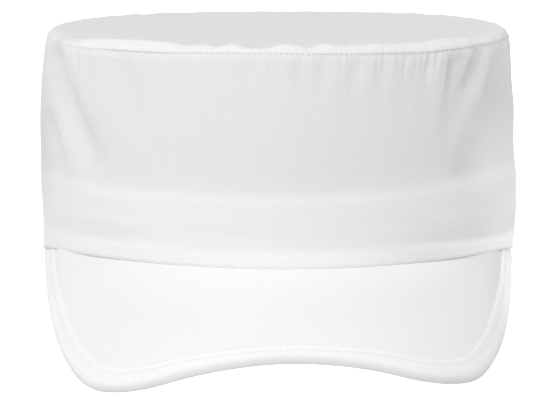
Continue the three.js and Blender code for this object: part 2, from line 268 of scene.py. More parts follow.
# Folds of the wall: each valley runs from one place to another. It bows square to its line, and
# before and after are its widths on the two sides: left and right of a fold that runs down, below
# and above one that runs to the right. It spreads to so many times these widths, and fades in and
# out at shares of its length. A ridge has a depth below 0.
FOLDS = table(
    "from_angle from_height to_angle to_height bow before after spread depth fade_in fade_out",
    (-79.5, 85, -45, 27, 2.2, 9, 12, 1, 5.2, 0.16, 0.6),
    (-72.5, 84, -65, 67, 0, 2.2, 3.8, 1, 1.2, 0.15, 0.4),
    (-74, 60, -63, 33, 0, 8, 9, 1, 2.4, 0.3, 0.5),
    (-58.6, 84, -56.6, 74, 0, 2.2, 1.3, 1.5, 0.6, 0.2, 0.5),
    (-43, 84, -36, 48, 0, 6, 8, 1.2, 1.1, 0.15, 0.3),
    (-24.5, 84, -22.5, 66, 0, 4, 5, 1.3, 0.55, 0.15, 0.3),
    (-15.5, 84, -14, 68, 0, 3.5, 4.5, 1.3, 0.4, 0.15, 0.3),
    (-6.5, 84, -6, 72, 0, 4, 4, 1, 0.3, 0.2, 0.4),
    (4.8, 84, 5, 64, 0, 3, 4.5, 1.2, 0.5, 0.15, 0.3),
    (10.8, 84, 10.4, 64, 0, 3, 4.5, 1.2, 0.6, 0.12, 0.3),
    (20, 84, 17.4, 64, 0, 3.2, 6, 1.2, 0.65, 0.15, 0.3),
    (27, 84, 24, 66, 0, 3.4, 6, 1.4, 0.55, 0.15, 0.4),
    (32.7, 84, 30, 70, 0, 3.2, 5, 1.4, 0.35, 0.15, 0.4),
    (37.6, 84, 34, 66, 0, 3.2, 6, 1.4, 0.65, 0.12, 0.4),
    (40.4, 84, 37.6, 70, 0, 1.7, 3, 1.5, 0.7, 0.12, 0.4),
    (49.6, 84, 45.6, 38, 0, 7, 14, 1.3, 2.2, 0.08, 0.45),
    (48.4, 84, 44.6, 58, 0, 2.4, 3, 1.4, 2.4, 0.1, 0.45),
    (51.4, 84, 49.4, 77, 0, 1.3, 2, 1.3, 0.7, 0.2, 0.4),
    (59.2, 84, 47.2, 54, 0.4, 5, 8, 1.5, 1.9, 0.08, 0.4),
    (58.8, 84, 51.6, 62, 0.3, 2.8, 3.4, 1.5, 2.7, 0.12, 0.45),
    (61.4, 84, 60, 79, 0, 1.2, 2, 1.3, 0.5, 0.2, 0.4),
    (64.5, 84, 59, 62, 0, 4, 7, 1.2, -0.7, 0.1, 0.6),
    (68.8, 84, 65, 72, 0, 2, 3, 1.4, 1.0, 0.15, 0.4),
    (75.2, 84, 72, 75, 0, 2, 3, 1.3, 0.8, 0.2, 0.4),
    (56, 71, 88, 69, 0, 10, 8, 1, 1.3, 0.3, 0.8),
    (74, 84, 46.8, 27, 0, 8.5, 18, 1, 4.6, 0.16, 0.75),
    (-79, 11.8, -20, 10.8, -1.6, 4, 6, 1, 0.95, 0.15, 0.6),
    (26, 9.3, 84, 8.6, 0, 4, 6, 1, 1.9, 0.42, 0.7),
    (-62, 24, -22, 17, 0, 3, 4, 1, 0.22, 0.3, 0.6),
    (-34, 15, 12, 12, 0.6, 3, 3.5, 1, 0.2, 0.3, 0.6),
    (14, 19, 52, 14, -0.5, 3, 4, 1, 0.25, 0.3, 0.6),
)
# Small gathers under the top seam: how high the fine and the broad ones stand.
GATHERS = table(
    "angle fine broad",
    (-180, 0.10, 0.12), (-90, 0.14, 0.2), (-62, 0.2, 0.25), (-42, 0.08, 0.12), (-10, 0.06, 0.1),
    (12, 0.08, 0.12), (24, 0.16, 0.15), (33, 0.26, 0.2), (46, 0.34, 0.2), (63, 0.34, 0.22),
    (80, 0.22, 0.2), (120, 0.12, 0.15), (180, 0.10, 0.12),
)
# Edge of the top panel, from the seam inwards: it rolls over and the middle lies flat.
TOP = table(
    "inset rise",
    (0.9, -0.1), (0.6, -0.06), (0.36, 0.08), (0.28, 0.5), (0.55, 1.2), (1.05, 1.85), (1.7, 2.4),
    (2.5, 2.82), (3.4, 3.08), (4.5, 3.2), (6, 3.12), (8, 2.92), (10.5, 2.76), (14, 2.68),
    (20, 2.64), (28, 2.61), (36, 2.6), (50, 2.7), (70, 2.88), (86, 2.98),
)
# How much higher the crest of that roll lies, in lumps and notches along the front.
ROLL = table(
    "angle raised",
    (-180, 0), (-90, 0), (-82, -0.3), (-74, -2.1), (-66, -1.9), (-61, -1.5), (-57, -0.8),
    (-52, -0.35), (-46, 0.05), (-40, 0.25), (-34, 0.25), (-31, 0.1), (-28.4, -0.1), (-25.7, -0.8),
    (-23.2, -1.1), (-20.6, -0.6), (-18.2, -0.65), (-15.7, -1.3), (-13.2, -0.5), (-10.9, 0),
    (-8.5, -1.1), (-6.1, -1.6), (-3.8, -1.6), (-1.5, -1.1), (1, -0.1), (3.3, -0.1), (5.6, -0.6),
    (8, -1.5), (10.4, -0.45), (12.7, 0), (15.1, -0.7), (17.6, -1.1), (20.1, -0.75), (22.6, -0.95),
    (25.2, -0.35), (27.8, -0.85), (30.5, -1), (36, -0.8), (42, -0.8), (45.4, -0.25), (48.8, -0.1),
    (52.5, -0.5), (57, -0.6), (61, -1.6), (66.4, -1.3), (73, -1.4), (82, 0), (180, 0),
)
# How far the peak reaches from the rim along its slope.
REACH = table(
    "angle reach",
    (0, 54.3), (10, 55.9), (20, 60), (30, 66), (38, 67.6), (46, 64.6), (55, 51.2),
    (65, 31.2), (75, 13.3), (82, 5.5), (88, 0),
)
# Section of the peak from its edge inwards: half thicknesses above and below. The binding folded
# round the edge stands a little higher than the cover, and its stitches press a groove.
HEM = table(
    "inset above below",
    (0, 0.05, 0.05), (0.1, 0.5, 0.45), (0.3, 0.85, 0.75), (0.6, 1.13, 1.0), (1.0, 1.33, 1.18),
    (1.6, 1.45, 1.32), (2.4, 1.48, 1.4), (4.6, 1.45, 1.4), (6.2, 1.38, 1.36), (7.1, 1.34, 1.28),
    (7.7, 1.28, 1.2), (8.3, 1.34, 1.24), (9, 1.38, 1.3), (9.9, 1.42, 1.32), (10.4, 1.36, 1.3),
    (10.8, 1.1, 1.24), (11.1, 1.0, 1.2), (11.8, 0.97, 1.2), (13, 0.97, 1.2),
)
# How much higher than its edge the peak's sheet lies: it bends down towards the edge.
HEM_BEND = table(
    "inset lift",
    (0, 0), (0.5, 0.62), (1, 1.12), (1.5, 1.5), (2, 1.8), (2.5, 2.02), (3, 2.17), (3.7, 2.3),
    (5, 2.35),
)
# How much lighter the binding is: most as a painted highlight along its inner edge, where it is
# turned under. Its outer edge is darker with painted shade where it rounds down.
HEM_PAINTED_LIGHT_AND_SHADE = table(
    "inset gain",
    (0, -0.16), (0.2, -0.14), (0.4, -0.11), (0.7, -0.085), (1.1, -0.04), (1.6, 0), (4.6, 0.03),
    (6.5, 0.03), (8.8, 0.03), (9.5, 0.04), (10.1, 0.06), (10.7, 0.03), (11.2, 0), (13, 0),
)
# Distance from the edge to the stitches, as a share of the table's.
HEM_WIDTH = table(
    "angle share",
    (0, 0.48), (12, 0.56), (20, 0.72), (30, 0.84), (45, 0.86), (62, 0.84), (74, 0.93), (90, 0.93),
)


def smooth(x, low, high):
    """0 up to low and 1 from high on, with a smooth step between them."""
    t = np.clip((x - low) / (high - low), 0, 1)
    return t * t * (3 - 2 * t)


def fade(x, low, high):
    """1 up to low and 0 from high on, with a smooth step between them."""
    return 1 - smooth(x, low, high)


def curve(rows, key, column, at, level_start=False):
    """Value of a table's column between its rows, on a smooth curve through them."""
    x, y = rows[key], rows[column]
    slope = np.empty(len(x))
    slope[1:-1] = (y[2:] - y[:-2]) / (x[2:] - x[:-2])
    slope[0] = 0 if level_start else (y[1] - y[0]) / (x[1] - x[0])
    slope[-1] = (y[-1] - y[-2]) / (x[-1] - x[-2])
    at = np.clip(at, x[0], x[-1])
    i = np.clip(np.searchsorted(x, at, side="right") - 1, 0, len(x) - 2)
    span = x[i + 1] - x[i]
    rise = y[i + 1] - y[i]
    t = (at - x[i]) / span
    a = slope[i] * span - rise
    b = rise - slope[i + 1] * span
    return y[i] + rise * t + t * (1 - t) * (a * (1 - t) + b * t)


def at_angle(rows, column, angle, level_start=False):
    """Value of a table that goes by degrees, at an angle in radians."""
    return curve(rows, "angle", column, np.degrees(angle), level_start)


def ripple(place, name):
    """A smooth irregular wave along a line, about 1 high: a sum of waves of nearly one length."""
    spacing, seed = RIPPLES[name]
    random = np.random.RandomState(seed)
    total = 0
    for share in RIPPLE_LENGTHS:
        length = spacing * share * (1 + RIPPLE_SPREAD * (random.rand() - 0.5))
        total = total + np.sin(2 * np.pi * place / length + 2 * np.pi * random.rand())
    return total / RIPPLE_CREST


def folds_at(angle, height):
    """How far every fold that passes near a place of the wall moves it out."""
    radius = GIRTH["folds"]
    moved = 0
    for row in zip(*FOLDS.values()):
        from_angle, from_height, to_angle, to_height, bow, before, after = row[:7]
        spread, depth, fade_in, fade_out = row[7:]
        run = math.radians(to_angle - from_angle) * radius
        fall = to_height - from_height
        length = math.hypot(run, fall)
        run, fall = run / length, fall / length
        aside = angle * radius - math.radians(from_angle) * radius
        down = height - from_height
        share = np.clip((aside * run + down * fall) / length, 0, 1)
        across = down * run - aside * fall - bow * 4 * share * (1 - share)
        across = across / (np.where(across < 0, before, after) * (1 + (spread - 1) * share))
        ends = smooth(share, 0, fade_in) * fade(share, fade_out, 1)
        moved = moved - depth * ends * (1 - across**2) * np.exp(-(across**2))
    return moved


def gathers_at(angle, height):
    """Small ripples that the top seam draws into the cloth under it."""
    under = SEAM_HEIGHT - height
    along = angle * GIRTH["gathers"] + GATHER_LEAN * np.sin(angle) * under
    starts = GATHER_AT_SEAM + (1 - GATHER_AT_SEAM) * smooth(under, 0, 2.5)
    total = 0
    for size, reach in GATHER_REACH.items():
        high = at_angle(GATHERS, size, angle) * ripple(along, size + " gathers")
        total = total + high * np.exp(-((under / reach) ** 2))
    return starts * total


def back_seam(angle):
    """1 on the cloth and 0 at the back, where the wall's two ends are sewn together."""
    return smooth(np.pi - np.abs(angle), 0, BACK_SEAM["span"])


def seam_drop(angle):
    """How much lower than level the top seam is."""
    return at_angle(SEAM_DROP, "drop", angle)


def band_shift(angle, height):
    """How much higher than at the back the sweatband shows, at a place of the wall."""
    shift = at_angle(BAND_EDGE, "height", angle) - BAND_LEVEL
    return shift * smooth(height, 13, 22) * fade(height, 40, 55)


def top_lift(angle):
    """How much higher than at the front the crown's top is."""
    side = np.sin(angle)
    sides = TOP_LIFT["sides"] * side**2 * (1 + TOP_LIFT["right"] * side)
    return np.maximum(0, -np.cos(angle)) * (TOP_LIFT["back"] + sides)


def wall_points(angle, height, inset):
    """Points of the wall, a distance in from its outer face."""
    side, front = np.sin(angle), np.cos(angle)
    left = curve(WALL, "height", "left", height)
    right = curve(WALL, "height", "right", height)
    mean = (left + right) / 2
    lean = (right - left) / 2 * side

    shifted = height - band_shift(angle, height)
    front_or_back = smooth(np.abs(front), 0, 0.25)
    at_right = smooth(side, 0.6, 0.92) * smooth(front, -0.1, 0.25) * smooth(height, 12, 18)
    swell = curve(SWELL, "height", "out", shifted)
    swell = swell * (SWELL_AT_SIDES + (1 - SWELL_AT_SIDES) * front_or_back)
    swell = swell * (1 + SWELL_MORE_RIGHT * at_right)
    from_line = (shifted - BAND_LINE["height"]) / BAND_LINE["width"]
    band_line = -BAND_LINE["depth"] * np.exp(-(from_line**2)) * smooth(front, 0.1, 0.4)

    along = angle * GIRTH["wall"]
    uneven = ripple(along + WAVE_LEAN["along the wall"] * height, "along the wall")
    uneven = uneven * ripple(height + WAVE_LEAN["up the wall"] * along, "up the wall")
    own = (gathers_at(angle, height) + UNEVEN["wall"] * uneven) * back_seam(angle)
    from_seam = (np.pi - np.abs(angle)) * GIRTH["wall"] / BACK_SEAM["width"]
    seam = -BACK_SEAM["depth"] * np.exp(-(from_seam**2))
    out = swell + band_line + folds_at(angle, height) + own + seam - inset

    rim = at_angle(RIM_RISE, "rise", angle) * fade(height, 0, RIM_RISE_HEIGHT)
    drop = HEM_DROP * smooth(front, 0, 0.3) * fade(height, 0, 3) * fade(inset, 0.2, CLOTH)
    lift = top_lift(angle) * (height / SEAM_HEIGHT) ** 2
    lift = lift - seam_drop(angle) * smooth(height, SEAM_DROP_FROM, SEAM_HEIGHT)
    x = (mean + lean + out) * side
    y = -(mean + CROWN_DEPTH_EXTRA + out) * front
    z = height + lift + rim - drop
    return np.stack(np.broadcast_arrays(x, y, z), -1)


def ring_angles(front_columns, back_columns):
    """Angles round the crown, closer together over the front half."""
    front = np.linspace(-np.pi / 2, np.pi / 2, front_columns, endpoint=False)
    back = np.linspace(np.pi / 2, 3 * np.pi / 2, back_columns, endpoint=False)
    turn = np.concatenate([back[back > np.pi] - 2 * np.pi, front, back[back <= np.pi]])
    return np.sort(turn)


def to_row(points, settles=False):
    """From the cap's frame to the shared frame, in metres. Cloth that settles lies flat on the floor."""
    turn = np.array(REST_TURN.to_matrix())
    row = points @ turn.T + np.array(REST_MOVE)
    if settles:
        below = np.minimum(0, row[..., 2])
        row = row - below[..., None] * turn[:, 2] / turn[2, 2]
    return row / MILLIMETRES


def strips(rows, columns, ring, closed, skip=None):
    """Row and column of the four corners of every quad over a grid of points."""
    r = np.arange(rows if closed else rows - 1)
    if skip is not None:
        r = r[r != skip]
    c = np.arange(columns if ring else columns - 1)
    r, c = (a.ravel() for a in np.meshgrid(r, c, indexing="ij"))
    return np.stack([r, r, r + 1, r + 1], 1), np.stack([c, c + 1, c + 1, c], 1)


def add_piece(name, points, faces, material, weave=None, layers=None):
    """A mesh piece that rides on the cap. For each corner of each face, weave has its place on the
    cloth, and the last argument gives how much lighter or darker the cloth is there: partly from more
    cloth behind it and partly painted light and shade."""
    mesh = bpy.data.meshes.new(name)
    mesh.from_pydata(points.reshape(-1, 3).tolist(), [], [list(face) for face in faces])
    mesh.polygons.foreach_set("use_smooth", np.ones(len(mesh.polygons), bool))
    if weave is not None:
        layer = mesh.uv_layers.new(name="weave")
        layer.uv.foreach_set("vector", np.asarray(weave, np.float32).ravel())
        light = np.zeros((len(mesh.loops), 2), np.float32)
        if layers is not None:
            light[:, 0] = layers
        mesh.uv_layers.new(name="layers").uv.foreach_set("vector", light.ravel())
    mesh.materials.append(material)
    mesh.update()
    piece = bpy.data.objects.new(name, mesh)
    bpy.context.scene.collection.objects.link(piece)
    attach(piece, "root")
    return piece


def add_ring(name, points, weave, material, layers=None, skip=None, tips=None):
    """A closed ring piece: each row of points is joined to the next and the last to the first.
    weave has one column more than points. tips are two middle points that close the rows at skip."""
    rows, columns = points.shape[:2]
    r, c = strips(rows, columns, True, True, skip)
    faces = ((r % rows) * columns + c % columns).tolist()
    corners = weave[r % rows, c].reshape(-1, 2)
    flat = points.reshape(-1, 3)
    if tips is not None:
        i = np.arange(columns)
        for row, tip, order in ((skip, 0, [0, 1, 2]), (skip + 1, 1, [1, 0, 2])):
            middle = np.full(columns, len(flat) + tip)
            fan = np.stack([row * columns + i, row * columns + (i + 1) % columns, middle], 1)
            places = np.stack([weave[row, i], weave[row, i + 1], np.zeros((columns, 2))], 1)
            faces += fan[:, order].tolist()
            corners = np.concatenate([corners, places[:, order].reshape(-1, 2)])
        flat = np.concatenate([flat, tips])
    light = None
    if layers is not None:
        light = np.zeros(len(corners))
        light[: r.size] = layers[r % rows, c % columns].ravel()
    return add_piece(name, flat, faces, material, corners, light)


def ring_weave(angles, down):
    """Places on a strip of cloth that runs round the crown."""
    around = np.append(angles, angles[0] + 2 * np.pi) * GIRTH["wall"]
    return np.stack(np.broadcast_arrays(around[None, :], down[:, None]), -1)


def seam_closed(angles):
    """1 where the top seam is closed and 0 where it is open."""
    return 1 - at_angle(SEAM_OPEN, "share", angles)


def wall_piece(angles, material):
    # The profile has a height and an inset in each row. It goes up the outer face and down the inner.
    body = [np.arange(1.2, 40, 0.95), np.arange(40, 66, 1.2), np.arange(66, 82.8, 0.8)]
    body = np.concatenate(body)
    foot = [(-0.1, 0.7), (-0.07, 0.45), (0.03, 0.22), (0.22, 0.07), (0.5, 0.01)]
    head = [(83.2, 0.02), (83.8, 0.06), (84.25, 0.16), (84.5, 0.36), (84.6, 0.7)]
    inner = np.concatenate([[84.4], np.linspace(83, 38, 9), np.linspace(35, 2, 15), [0.6]])
    inner = np.stack([inner, np.full(len(inner), CLOTH)], 1)
    under = [(0.12, CLOTH - 0.2), (-0.05, CLOTH - 0.45)]
    profile = np.concatenate([foot, np.stack([body, 0 * body], 1), head, inner, under])

    height, inset = profile[:, :1], profile[:, 1:]
    edge = seam_closed(angles) * smooth(height, 82.8, 83.2) * (inset < 1)
    inset = inset - (inset - SEAM_TOUCH) * edge
    height = height + SEAM_CLOSED_RISE * edge * smooth(height, 83.2, 84.6)
    points = wall_points(angles, height, inset)

    side = np.sin(angles)
    # Lighter over the sweatband, partly from its second cloth and partly painted light; less at the
    # left, as painted shade.
    doubled_and_painted_light = BAND_GAIN * fade(height - band_shift(angles, height), 26, 30)
    doubled_and_painted_light = doubled_and_painted_light * (1 - BAND_GAIN_LOSS * smooth(-side, 0.5, 0.8))
    # Lighter under the top seam: the cloth turned in there, with painted light on the gathers.
    turned_in_and_painted_light = SEAM_GAIN * smooth(height, 80.8, 82.6)
    # Lighter low over the rim: partly the cloth turned up behind it, partly painted light, most at the
    # right.
    turned_up_and_painted_light = at_angle(RIM_GAIN, "gain", angles) * fade(height, 5, 9)
    # Painted light low on the right side.
    at_right = RIGHT_PAINTED_LIGHT * smooth(side, 0.8, 0.97) * fade(height, 36, 62)
    # Painted shade on the far left, less near the top.
    painted_shade_left = LEFT_PAINTED_SHADE * smooth(-side, 0.9, 1) * smooth(height, 12, 30)
    painted_shade_left = painted_shade_left * (1 - LEFT_PAINTED_SHADE_LOSS * smooth(height, 58, 78))
    # Painted shade along the lower edge, on its outer face, where it meets the peak.
    sewn = at_angle(EDGE_PAINTED_SHADE, "gain", np.abs(angles)) * fade(height, 0.25, 0.8)
    sewn = sewn * (profile[:, 1:] < 0.9)
    layers = doubled_and_painted_light + turned_in_and_painted_light + turned_up_and_painted_light + at_right + painted_shade_left + sewn
    weave = ring_weave(angles, profile[:, 0])
    return add_ring("crown_wall_cloth", to_row(points, True), weave, material, layers)


def sweatband_piece(angles, material):
    body = np.linspace(3.8, 27.2, 22)
    outer = [(3.1, 0.4), (3.3, 0.12)] + [(h, 0) for h in body] + [(27.7, 0.12), (27.9, 0.4)]
    inner = [(27.9, 0.8), (27.7, 1.08)] + [(h, BAND_CLOTH) for h in body[::-1]]
    profile = np.array(outer + inner + [(3.3, 1.08), (3.1, 0.8)])
    points = wall_points(angles, profile[:, :1], profile[:, 1:] + CLOTH + BAND_CLEARANCE)
    wave = ripple(angles * GIRTH["band"], "along the band") * back_seam(angles)
    points[..., 2] += UNEVEN["band"] * wave
    inside = profile[:, 1] > 0.5
    weave = ring_weave(angles, profile[:, 0] + WEAVE_APART * inside)
    return add_ring("sweatband_cloth", to_row(points), weave, material)


def roll_at(angle, inset):
    """How far lumps and pleats raise the rolled edge of the top panel."""
    degrees = np.degrees(angle)
    along = angle * GIRTH["roll"]
    lumps = ROLL_LUMPS * smooth(np.abs(degrees), 40, 70) * ripple(along, "lumps of the roll")
    at_right = smooth(degrees, 42, 58) * fade(degrees, 84, 100)
    pleats = ROLL_PLEATS["everywhere"] + ROLL_PLEATS["at the right"] * at_right
    pleats = pleats * ripple(along, "pleats of the roll")
    raised = at_angle(ROLL, "raised", angle) + lumps + pleats
    on_roll = smooth(inset, 0.2, 2.4) * fade(inset, 6, 26)
    return raised * on_roll * back_seam(angle)


def top_piece(angles, material):
    folds = folds_at(angles, SEAM_HEIGHT)
    closed = seam_closed(angles)

    def ring(inset, rise, detail):
        touching = closed * (rise < 0.5) * (inset < 1)
        at = inset - (inset - SEAM_TOUCH) * touching
        points = wall_points(angles, SEAM_HEIGHT, at + folds * smooth(inset, 3, 40))
        slanting = points[:, 0] * TOP_WAVE_WAY[0] + points[:, 1] * TOP_WAVE_WAY[1]
        wave = ripple(slanting, "across the top") * ripple(points[:, 1], "along the top")
        wave = UNEVEN["top"] * wave * smooth(inset, 4, 20)
        raised = (roll_at(angles, inset) + wave) * detail
        level = seam_drop(angles) * smooth(inset, 0.5, 4.5)
        level = level - top_lift(angles) * smooth(inset, 14, 86)
        points[:, 2] += TOP_GAP + rise + raised + level
        return points

    under = [
        (86, 1.6), (60, 1.4), (36, 1.2), (20, 1.25), (11.4, 1.4), (5.4, 1.9), (2.7, 1.5),
        (1.6, 0.4), (1.5, 0.0),
    ]
    outer = [ring(inset, rise, 1) for inset, rise in zip(TOP["inset"], TOP["rise"])]
    inner = [ring(inset, rise, 1 if inset > 4 else 0) for inset, rise in under]
    points = np.array(outer + inner)
    last = len(outer) - 1
    middles = points[[last, last + 1]].mean(1) + (0, 0, TOP_MIDDLE)
    weave = np.concatenate([points, points[:, :1]], 1)[..., :2]
    insets = np.concatenate([TOP["inset"], [inset for inset, rise in under]])
    # Lighter over the roll: the cloth turned in there, with a painted highlight, and painted shade
    # towards the sides.
    ends = 1 - ROLL_GAIN_LOSS * smooth(np.abs(np.degrees(angles)), 55, 80)
    layers = ROLL_GAIN * fade(insets, 3, 8)[:, None] * ends
    return add_ring(
        "top_panel_cloth", to_row(points), weave, material, layers, last, to_row(middles)
    )


def reach_at(angle):
    """How far the peak reaches, with a little more on one side than on the other."""
    mean = at_angle(REACH, "reach", np.abs(angle), True)
    return mean - PEAK_SKEW * np.sin(PEAK_SKEW_WAVE * angle)


def sheet_point(angle, reach):
    """The middle of the peak's sheet: straight lines from the rim, forwards and down."""
    slope = PEAK_SLOPE_SIDE + (PEAK_SLOPE_FRONT - PEAK_SLOPE_SIDE) * np.cos(angle)
    slope = np.radians(slope)
    heading = PEAK_FAN * angle + math.radians(PEAK_TURN)
    share = reach / np.maximum(reach_at(angle), 1)
    raised = at_angle(RIM_RISE, "rise", angle) * fade(reach, 0, RIM_RISE_REACH)
    raised = raised + at_angle(ROOT_LIFT, "lift", np.abs(angle), True) * fade(share, 0.05, 0.95)
    x, y = PEAK_HALF_WIDTH * np.sin(angle), -PEAK_HALF_DEPTH * np.cos(angle)
    start = np.stack([x, y, PEAK_START + raised], -1)
    level = np.cos(slope)
    along = np.stack([np.sin(heading) * level, -np.cos(heading) * level, -np.sin(slope)], -1)
    return start + along * reach[..., None]


def sheet_slopes(angle, reach):
    """How the sheet's points move for each radian of angle and each millimetre of reach."""
    here = sheet_point(angle, reach)
    by_angle = (sheet_point(angle + SLOPE_STEP, reach) - here) / SLOPE_STEP
    by_reach = sheet_point(angle, reach + 1) - here
    return by_angle, by_reach


def inset_place(angle, inset):
    """Angle and reach of a place a distance in from the edge, square to the edge."""
    reach = reach_at(angle)
    by_angle, by_reach = sheet_slopes(angle, reach)
    change = (reach_at(angle + SLOPE_STEP) - reach) / SLOPE_STEP
    edge = by_angle + by_reach * change[..., None]
    turn = (by_reach * edge).sum(-1)
    back = -(by_angle * edge).sum(-1)
    length = np.linalg.norm(by_angle * turn[..., None] + by_reach * back[..., None], axis=-1)
    return angle + inset * turn / length, reach + inset * back / length


def hem_share(angle):
    """Width of the hem up to its stitches, as a share of the tables'."""
    return at_angle(HEM_WIDTH, "share", np.abs(angle))


def hem_place(angle, inset):
    """Where in the hem's tables a place lies that is a distance in from the edge."""
    share = hem_share(angle)
    stitches = PEAK_STITCH_INSET * share
    beyond = PEAK_STITCH_INSET + (inset - stitches) / HEM_BEYOND
    place = np.where(inset < stitches, inset / share, beyond)
    return np.where(inset < HEM_EDGE, inset, place)


def hem_bend(angle, inset):
    """How much higher than its edge the sheet lies there, less where the peak is short."""
    share = HEM_BEND_LEAST + (1 - HEM_BEND_LEAST) * smooth(reach_at(angle), 15, 45)
    return curve(HEM_BEND, "inset", "lift", inset) * share


def row_end(inset, side):
    """Angle at which the row at an inset meets the rim."""
    inside, outside = 0.0, side * math.radians(REACH["angle"][-1])
    for _ in range(HALVINGS):
        middle = (inside + outside) / 2
        if inset_place(np.array([middle]), inset)[1][0] > 0:
            inside = middle
        else:
            outside = middle
    return inside


def peak_rows():
    """Angle, reach, half thicknesses and tone along every row of the peak, from its edge to the rim."""
    share = np.linspace(0, 1, PEAK_COLUMNS)
    edge = [0, 0.08, 0.2, 0.4, 0.7, 1.1, 1.6]
    insets = np.concatenate([edge, np.arange(2.2, 11.5, 0.25), [12.2, 13]])
    wave = UNEVEN["hem"] * ripple(share * PEAK_EDGE_LENGTH, "along the hem")
    rows = []
    for inset in insets:
        left, right = row_end(inset, -1), row_end(inset, 1)
        angle, reach = inset_place(left + (right - left) * share, inset)
        place = hem_place(angle, inset)
        bend = hem_bend(angle, inset)
        band = smooth(inset, 0.2, 2) * fade(inset, 4.5, 7)
        above = curve(HEM, "inset", "above", place) + band * wave + bend
        below = curve(HEM, "inset", "below", place) - bend
        aside = np.abs(np.degrees(angle))
        # Painted highlight and shade on the binding, and painted light on the hem along the peak's
        # sides, most at the right.
        side = np.where(angle < 0, HEM_SIDE_PAINTED_LIGHT["left"], HEM_SIDE_PAINTED_LIGHT["right"])
        side = side * smooth(aside, 54, 68) * fade(place, 10.2, 11)
        # Painted light in the middle of the peak.
        middle = PEAK_PAINTED_LIGHT * fade(aside, 10, 52)
        light = curve(HEM_PAINTED_LIGHT_AND_SHADE, "inset", "gain", place) + side + middle
        rows.append((angle, reach, above, below, light))

    deep_angle, deep_reach, deep_above, deep_below, deep_light = rows[-1]
    deep_bend = hem_bend(deep_angle, insets[-1])
    rim_angle = PEAK_RIM_SHARE * deep_angle[-1] * (2 * share - 1)
    for step in np.linspace(0, 1, PEAK_INNER_ROWS + 1)[1:]:
        angle = deep_angle + (rim_angle - deep_angle) * step
        level = deep_bend * smooth(step, 0, 0.9)
        # Painted light on the peak next to its root, most at the right.
        to_right = smooth(np.degrees(angle), 10, 55)
        root = ROOT_PAINTED_LIGHT["left"] + (ROOT_PAINTED_LIGHT["right"] - ROOT_PAINTED_LIGHT["left"]) * to_right
        light = deep_light + root * smooth(step, 0.5, 1)
        rows.append((angle, deep_reach * (1 - step), deep_above - level, deep_below + level, light))
    return rows


def peak_face(angle, reach, away, side):
    """Points and outward directions along a row of the upper (1) or lower (-1) face."""
    by_angle, by_reach = sheet_slopes(angle, reach)
    normal = np.cross(by_reach, by_angle)
    normal = normal / np.linalg.norm(normal, axis=-1, keepdims=True)
    points = sheet_point(angle, reach)
    across = points[:, 0] + WAVE_LEAN["across the peak"] * reach
    uneven = ripple(across, "across the peak") * ripple(reach, "down the peak")
    uneven = UNEVEN["peak"] * uneven * smooth(reach, 2, 15)
    return points + normal * (away * side + uneven)[:, None], normal * side


def peak_piece(material):
    rows = peak_rows()
    upper = [peak_face(angle, reach, above, 1)[0] for angle, reach, above, below, light in rows]
    lower = [peak_face(angle, reach, below, -1)[0] for angle, reach, above, below, light in rows]
    points = np.array(upper + lower[::-1])
    count, columns = points.shape[:2]
    r, c = strips(count, columns, False, True)
    angle, reach, light = (np.array([row[k] for row in rows + rows[::-1]]) for k in (0, 1, 4))
    across = PEAK_HALF_WIDTH * np.sin(angle) + reach * np.sin(PEAK_FAN * angle)
    forwards = PEAK_HALF_DEPTH * np.cos(angle) + reach * np.cos(PEAK_FAN * angle)
    weave = np.stack([across, forwards], -1)
    faces = ((r % count) * columns + c).tolist()
    corners = weave[r % count, c].reshape(-1, 2)
    layers = light[r % count, c].ravel()
    for i in range(count // 2 - 1):
        strip = np.array([i, i + 1, count - 2 - i, count - 1 - i])
        for corner, column in ((strip, 0), (strip[::-1], columns - 1)):
            faces.append((corner * columns + column).tolist())
            corners = np.concatenate([corners, weave[corner, column]])
            layers = np.concatenate([layers, light[corner, column]])
    return add_piece("peak_cover", to_row(points, True), faces, material, corners, layers)


def add_stitches(name, lines, material, pitch, length, radius, rise):
    """Rows of sewn thread. Each line has points along it and the direction out of the cloth."""
    points, faces = [], []
    rings, sides = len(STITCH_TAPER), STITCH_SIDES
    along = np.linspace(0, 1, rings)
    arch = rise * np.sqrt(np.sin(np.pi * along)) - STITCH_SINK
    turn = np.linspace(0, 2 * np.pi, sides, endpoint=False)
    r, c = strips(rings, sides, True, False)
    quads = (r * sides + c % sides)[:, ::-1]
    caps = np.array([np.arange(sides), (rings - 1) * sides + np.arange(sides)[::-1]])
    for line, out in lines:
        run = np.concatenate([[0], np.cumsum(np.linalg.norm(np.diff(line, axis=0), axis=1))])
        count = int(run[-1] // pitch)
        places = (np.arange(count)[:, None] + 0.5) * run[-1] / count + (along - 0.5) * length
        centre = np.stack([np.interp(places, run, line[:, k]) for k in range(3)], -1)
        normal = np.stack([np.interp(places, run, out[:, k]) for k in range(3)], -1)
        centre = centre + normal * arch[None, :, None]
        forward = np.gradient(centre, axis=1)
        forward /= np.linalg.norm(forward, axis=-1, keepdims=True)
        aside = np.cross(forward, normal)
        aside /= np.linalg.norm(aside, axis=-1, keepdims=True)
        ring = normal[:, :, None] * np.sin(turn)[:, None]
        ring = ring + aside[:, :, None] * np.cos(turn)[:, None]
        tube = centre[:, :, None] + ring * radius * STITCH_TAPER[None, :, None, None]
        first = sum(len(p) for p in points) + np.arange(count)[:, None, None] * rings * sides
        faces += (quads[None] + first).reshape(-1, 4).tolist()
        faces += (caps[None] + first).reshape(-1, sides).tolist()
        points.append(tube.reshape(-1, 3))
    return add_piece(name, to_row(np.concatenate(points)), faces, material)


